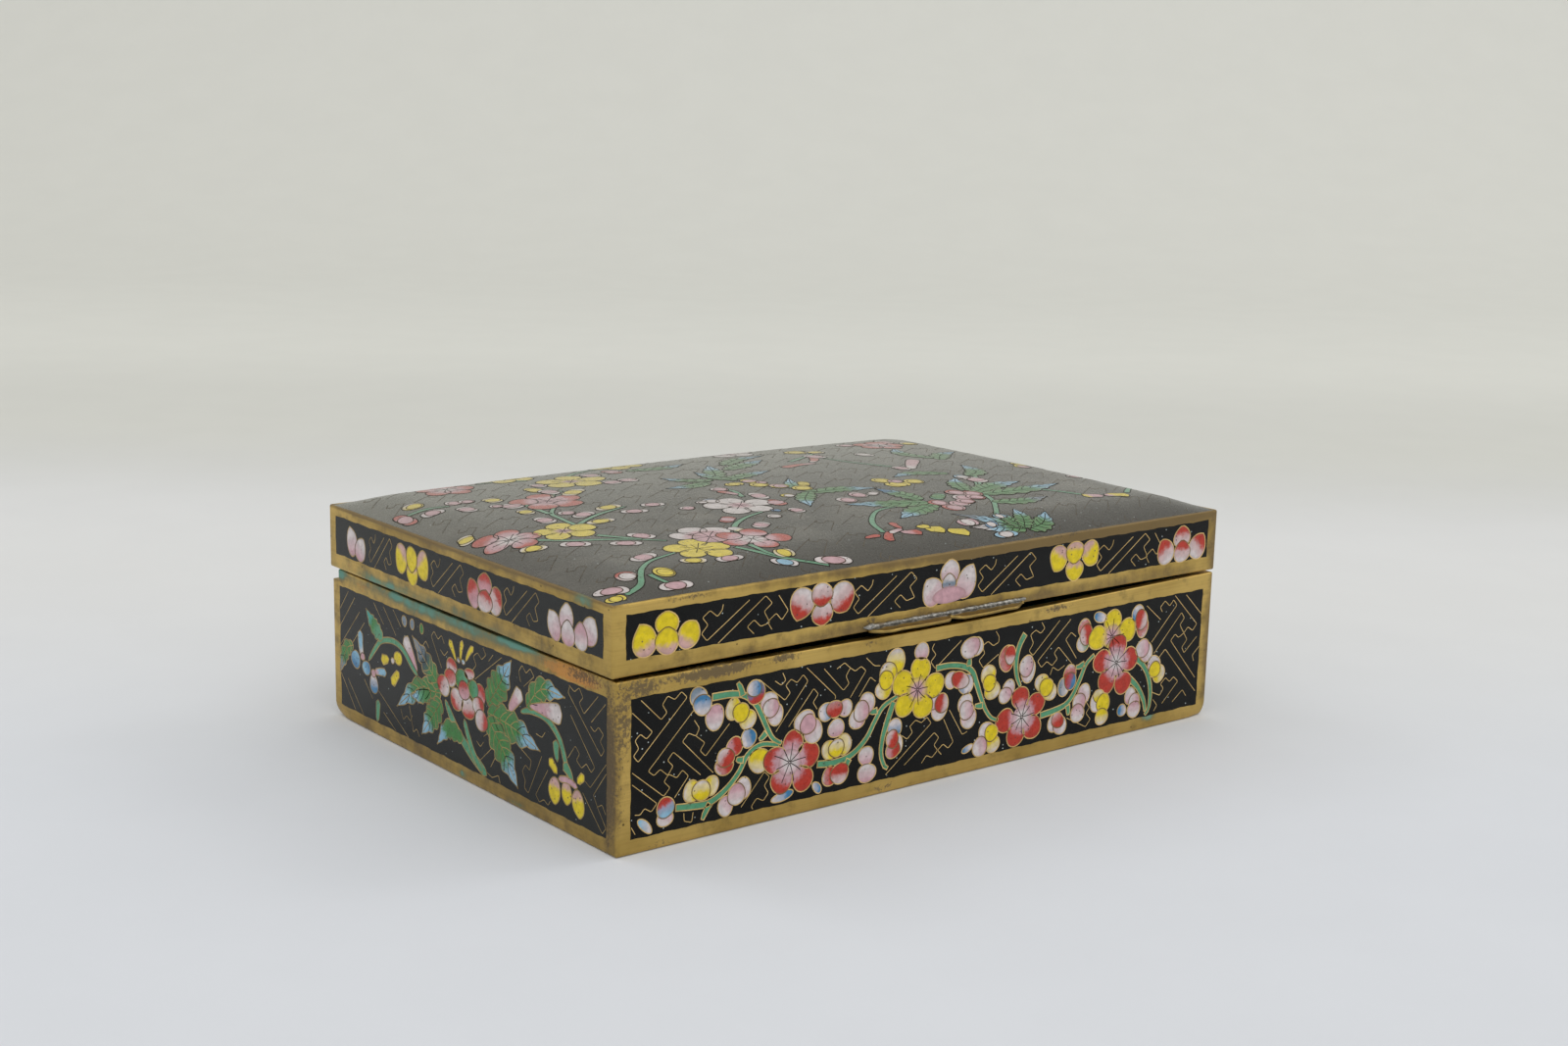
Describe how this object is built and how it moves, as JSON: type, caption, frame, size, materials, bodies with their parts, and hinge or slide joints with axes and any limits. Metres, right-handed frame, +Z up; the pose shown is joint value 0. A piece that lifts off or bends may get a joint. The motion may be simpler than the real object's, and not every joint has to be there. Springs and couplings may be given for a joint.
{
  "type": "cloisonne enamel box",
  "caption": "Rectangular brass box with a low domed hinged lid, inlaid with black cloisonne enamel, prunus blossom and key-fret wires, and a soldered thumb-lift.",
  "frame": {"origin": "middle of the base's underside, where the box stands", "axes": "+Z up, -Y towards the front with the thumb-lift, +X along the long side to the right seen from the front"},
  "size_m": [0.152, 0.1054, 0.0494],
  "materials": {
    "brass": "gilt brass, brushed, pitted and tarnished",
    "hinge_brass": "dark tarnished brass with verdigris",
    "enamel": "black cloisonne enamel, polished, with coloured blossoms"
  },
  "bodies": {
    "base": {"base_body": "brass", "base_front_enamel": "enamel", "base_back_enamel": "enamel", "base_left_enamel": "enamel", "base_right_enamel": "enamel", "base_hinge_knuckle_1": "hinge_brass", "base_hinge_knuckle_2": "hinge_brass", "base_hinge_knuckle_3": "hinge_brass", "hinge_pin": "hinge_brass"},
    "lid": {"lid_body": "brass", "lid_front_enamel": "enamel", "lid_back_enamel": "enamel", "lid_left_enamel": "enamel", "lid_right_enamel": "enamel", "lid_top_enamel": "enamel", "thumb_lift": "brass", "lid_hinge_knuckle_1": "hinge_brass", "lid_hinge_knuckle_2": "hinge_brass"}
  },
  "joints": [
    {"name": "lid_hinge", "type": "hinge", "parent": "base", "child": "lid", "pos_m": [0, 0.0502, 0.03005], "axis": [-1, 0, 0], "range_deg": [0, 100]}
  ]
}
